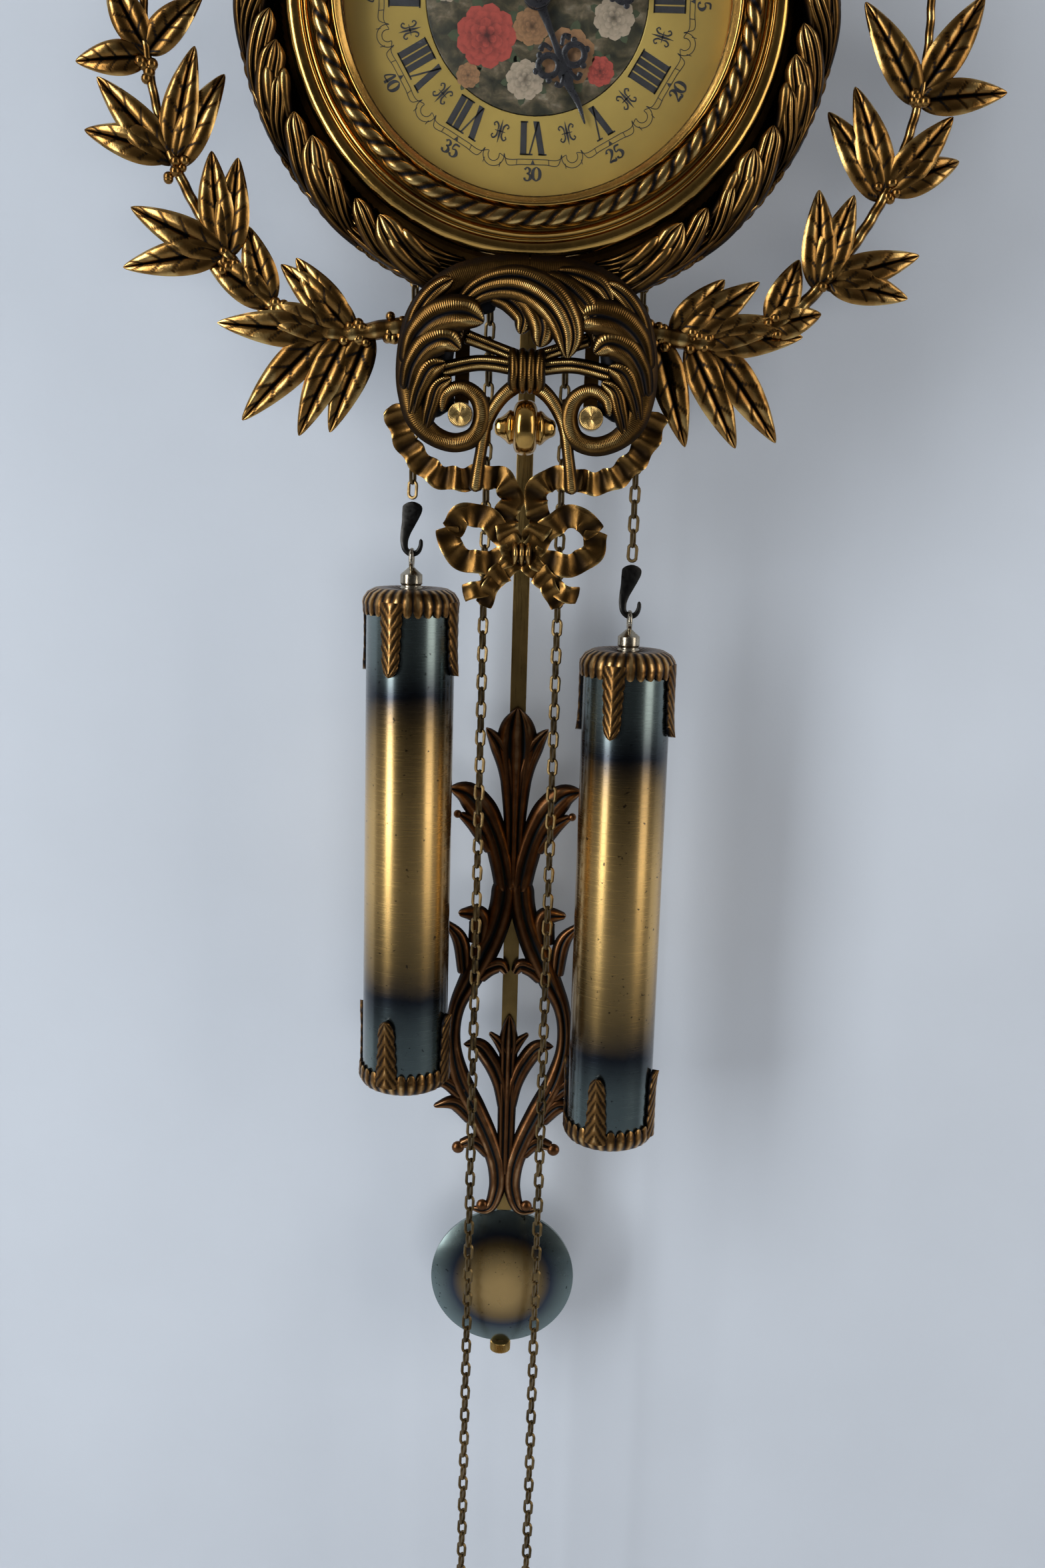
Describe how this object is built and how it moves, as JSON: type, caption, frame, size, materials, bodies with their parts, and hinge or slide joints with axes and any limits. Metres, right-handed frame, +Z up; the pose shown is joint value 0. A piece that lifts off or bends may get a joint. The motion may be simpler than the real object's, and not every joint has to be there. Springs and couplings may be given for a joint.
{
  "type": "wall clock",
  "caption": "Round gilt wall clock with a laurel wreath and ribbon, domed glass, pierced hands, lyre pendulum, and weights hung on chains below an open movement case.",
  "frame": {"origin": "on the dial axis, in the rear face of the back plate that lies against the wall", "axes": "+Z up the wall, +X to the right seen from the front, +Y into the wall, so the dial faces -Y"},
  "size_m": [0.3797, 0.1119, 1.1533],
  "materials": {
    "polished_gilt": "polished gilt bronze",
    "gilt": "gilt bronze, patinated in the recesses",
    "antique_gilt": "antique brown gilt",
    "copper_bronze": "dark copper-brown bronze",
    "brass": "lacquered brass",
    "steel": "dark bare steel",
    "nickel": "nickel-plated brass",
    "satin_gold": "pale satin gold",
    "painted_centre": "painted",
    "black_hands": "satin black",
    "glass": "clear",
    "teal_lacquer": "spun and lacquered",
    "lacquered_weight": "brushed and shaded lacquer"
  },
  "bodies": {
    "case": {"back_plate": "brass", "drum_case": "gilt", "movement_front_plate": "brass", "movement_back_plate": "brass", "bezel_ring": "polished_gilt", "rope_moulding": "gilt", "dial_chapter_ring": "satin_gold", "dial_centre_disc": "painted_centre", "hinge_pin": "brass", "suspension_cock": "brass", "bell": "nickel", "bell_stand": "steel", "left_chain_over_wheel": "antique_gilt", "right_chain_over_wheel": "antique_gilt", "collar_right": "gilt", "collar_left": "gilt", "laurel_branch_right": "gilt", "laurel_branch_left": "gilt", "cartouche": "gilt", "baluster": "polished_gilt", "ribbon_festoon": "gilt", "crest_bow": "gilt"},
    "glass_door": {"glass_rim": "polished_gilt", "glass": "glass"},
    "time_great": {"time_great_wheel": "brass"},
    "centre": {"centre_wheel": "brass"},
    "third": {"third_wheel": "brass"},
    "escape": {"escape_wheel": "brass"},
    "anchor": {"anchor_and_crutch": "steel"},
    "strike_great": {"strike_great_wheel": "brass"},
    "pin": {"pin_wheel": "brass"},
    "fly": {"fly": "brass"},
    "hammer": {"hammer": "steel"},
    "minute_arbor": {"cannon_pinion": "steel", "minute_hand": "black_hands", "hand_nut": "brass"},
    "minute_wheel": {"minute_wheel": "brass"},
    "hour_arbor": {"hour_wheel": "brass", "hour_hand": "black_hands"},
    "pendulum": {"suspension_spring": "steel", "pendulum_rod": "brass", "pendulum_lyre": "copper_bronze", "pendulum_bob": "teal_lacquer", "rating_nut": "brass"},
    "time_chain_wheel": {"time_chain_wheel": "brass"},
    "strike_chain_wheel": {"strike_chain_wheel": "brass"},
    "right_line": {"right_chain_weight_side": "antique_gilt", "right_weight_hook": "steel"},
    "right_weight": {"right_weight_eye": "nickel", "right_weight_top_cap": "antique_gilt", "right_weight_tube": "lacquered_weight", "right_weight_foot_cap": "antique_gilt"},
    "right_free_chain": {"right_chain_free_side": "antique_gilt"},
    "left_line": {"left_chain_weight_side": "antique_gilt", "left_weight_hook": "steel"},
    "left_weight": {"left_weight_eye": "nickel", "left_weight_top_cap": "antique_gilt", "left_weight_tube": "lacquered_weight", "left_weight_foot_cap": "antique_gilt"},
    "left_free_chain": {"left_chain_free_side": "antique_gilt"}
  },
  "joints": [
    {"name": "glass_door_hinge", "type": "hinge", "parent": "case", "child": "glass_door", "pos_m": [0.0848, -0.1092, 0.008], "axis": [0, 0, 1], "range_deg": [0, 100]},
    {"name": "time_great_spin", "type": "hinge", "parent": "case", "child": "time_great", "pos_m": [0.033, -0.063, -0.024], "axis": [0, 1, 0], "continuous": true},
    {"name": "centre_spin", "type": "hinge", "parent": "case", "child": "centre", "pos_m": [0, -0.063, 0], "axis": [0, 1, 0], "continuous": true},
    {"name": "third_spin", "type": "hinge", "parent": "case", "child": "third", "pos_m": [0.00316, -0.063, 0.02379], "axis": [0, 1, 0], "continuous": true},
    {"name": "escape_spin", "type": "hinge", "parent": "case", "child": "escape", "pos_m": [0, -0.063, 0.042], "axis": [0, 1, 0], "continuous": true},
    {"name": "strike_great_spin", "type": "hinge", "parent": "case", "child": "strike_great", "pos_m": [-0.033, -0.063, -0.024], "axis": [0, 1, 0], "continuous": true},
    {"name": "pin_spin", "type": "hinge", "parent": "case", "child": "pin", "pos_m": [-0.04009, -0.063, 0.01618], "axis": [0, 1, 0], "continuous": true},
    {"name": "fly_spin", "type": "hinge", "parent": "case", "child": "fly", "pos_m": [-0.03377, -0.063, 0.03355], "axis": [0, 1, 0], "continuous": true},
    {"name": "minute_arbor_spin", "type": "hinge", "parent": "case", "child": "minute_arbor", "pos_m": [0, -0.085, 0], "axis": [0, 1, 0], "continuous": true},
    {"name": "minute_wheel_spin", "type": "hinge", "parent": "case", "child": "minute_wheel", "pos_m": [-0.00849, -0.085, -0.00849], "axis": [0, 1, 0], "continuous": true},
    {"name": "hour_arbor_spin", "type": "hinge", "parent": "case", "child": "hour_arbor", "pos_m": [0, -0.085, 0], "axis": [0, 1, 0], "continuous": true},
    {"name": "pendulum_swing", "type": "hinge", "parent": "case", "child": "pendulum", "pos_m": [0, -0.032, 0.064], "axis": [0, 1, 0], "range_deg": [-3, 3]},
    {"name": "anchor_rock", "type": "hinge", "parent": "case", "child": "anchor", "pos_m": [0, -0.06, 0.064], "axis": [0, 1, 0], "range_deg": [-3, 3]},
    {"name": "hammer_lift", "type": "hinge", "parent": "case", "child": "hammer", "pos_m": [-0.062, -0.06, 0.03], "axis": [0, -1, 0], "range_deg": [0, 12]},
    {"name": "right_line_run", "type": "slide", "parent": "case", "child": "right_line", "axis": [0, 0, 1], "range_m": [-0.055, 0.035]},
    {"name": "right_weight_swing", "type": "hinge", "parent": "right_line", "child": "right_weight", "pos_m": [0.0493, -0.064, -0.2468], "axis": [0, 1, 0], "range_deg": [-1.5, 1.5]},
    {"name": "right_free_chain_run", "type": "slide", "parent": "case", "child": "right_free_chain", "axis": [0, 0, 1], "range_m": [-0.035, 0.055]},
    {"name": "time_chain_wheel_spin", "type": "hinge", "parent": "case", "child": "time_chain_wheel", "pos_m": [0.033, -0.064, -0.024], "axis": [0, 1, 0], "range_deg": [-125, 195]},
    {"name": "left_line_run", "type": "slide", "parent": "case", "child": "left_line", "axis": [0, 0, 1], "range_m": [-0.055, 0.035]},
    {"name": "left_weight_swing", "type": "hinge", "parent": "left_line", "child": "left_weight", "pos_m": [-0.0493, -0.064, -0.2218], "axis": [0, 1, 0], "range_deg": [-1.5, 1.5]},
    {"name": "left_free_chain_run", "type": "slide", "parent": "case", "child": "left_free_chain", "axis": [0, 0, 1], "range_m": [-0.035, 0.055]},
    {"name": "strike_chain_wheel_spin", "type": "hinge", "parent": "case", "child": "strike_chain_wheel", "pos_m": [-0.033, -0.064, -0.024], "axis": [0, 1, 0], "range_deg": [-195, 125]}
  ],
  "couplings": [
    {"joint": "time_great_spin", "follows": "centre_spin", "ratio": -0.083333},
    {"joint": "third_spin", "follows": "centre_spin", "ratio": -9},
    {"joint": "escape_spin", "follows": "centre_spin", "ratio": 75},
    {"joint": "pin_spin", "follows": "strike_great_spin", "ratio": -9},
    {"joint": "fly_spin", "follows": "strike_great_spin", "ratio": 75},
    {"joint": "minute_wheel_spin", "follows": "minute_arbor_spin", "ratio": -0.33333},
    {"joint": "hour_arbor_spin", "follows": "minute_arbor_spin", "ratio": 0.083333},
    {"joint": "anchor_rock", "follows": "pendulum_swing", "ratio": 1},
    {"joint": "right_free_chain_run", "follows": "right_line_run", "ratio": -1},
    {"joint": "time_chain_wheel_spin", "follows": "right_line_run", "rad_per_m": -61.359},
    {"joint": "left_free_chain_run", "follows": "left_line_run", "ratio": -1},
    {"joint": "strike_chain_wheel_spin", "follows": "left_line_run", "rad_per_m": 61.359}
  ]
}
